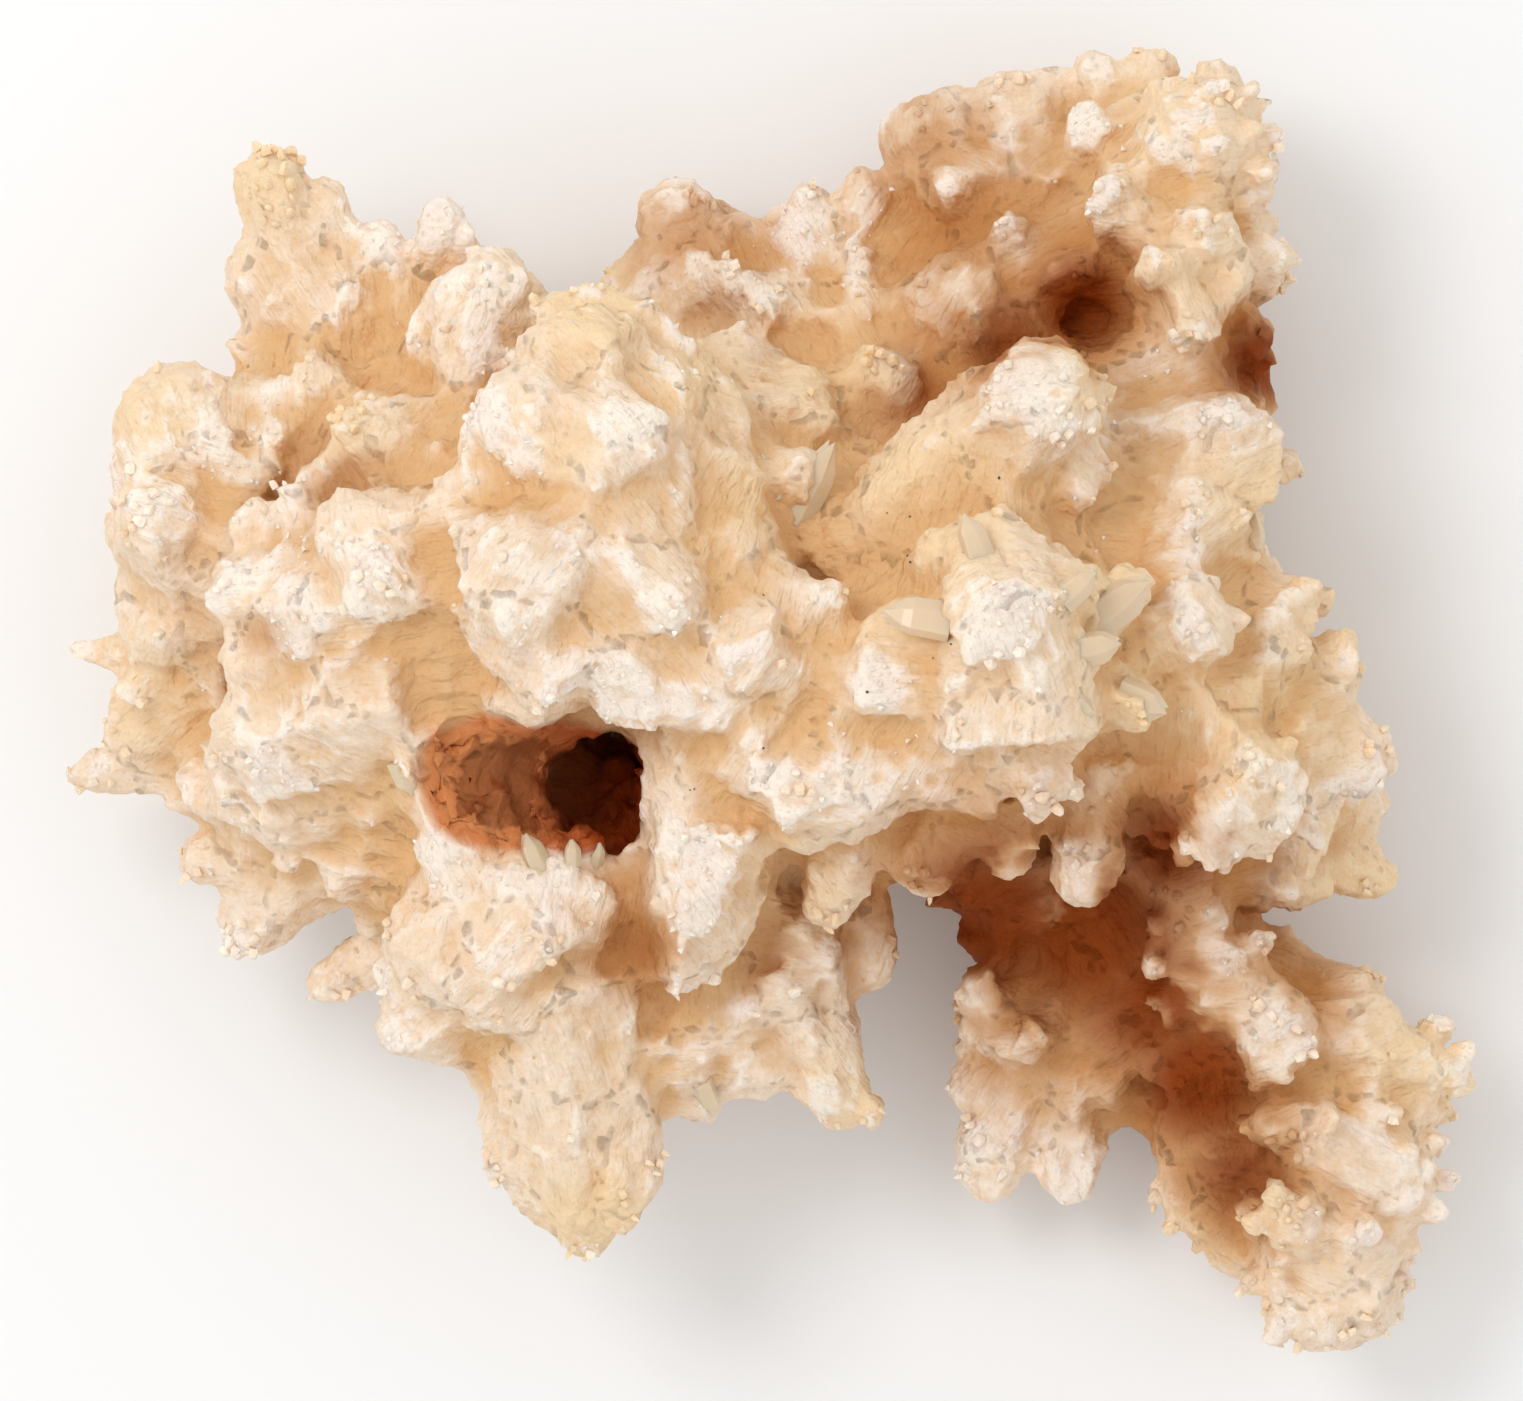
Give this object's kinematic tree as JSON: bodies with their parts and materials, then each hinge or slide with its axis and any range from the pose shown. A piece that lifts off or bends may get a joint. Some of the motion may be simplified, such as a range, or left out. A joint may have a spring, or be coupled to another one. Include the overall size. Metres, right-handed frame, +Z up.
{
  "type": "dogtooth calcite cluster",
  "caption": "Free-standing cluster of blunt, six-sided dogtooth calcite crystals that radiate from a lumpy core, resting on a small flat spot.",
  "frame": {"origin": "middle of the base of the cluster's own box, on the surface it rests on", "axes": "+Z up from the resting flat, +X along the longest extent, from the broad mass towards the end with the lower arm, +Y away from a viewer who looks down on it"},
  "size_m": [0.142, 0.1316, 0.0711],
  "materials": {
    "calcite": "frosted, sugary cream-white crystals with honey edges and orange-brown crevices"
  },
  "bodies": {
    "root": {"calcite_cluster": "calcite"}
  },
  "joints": []
}
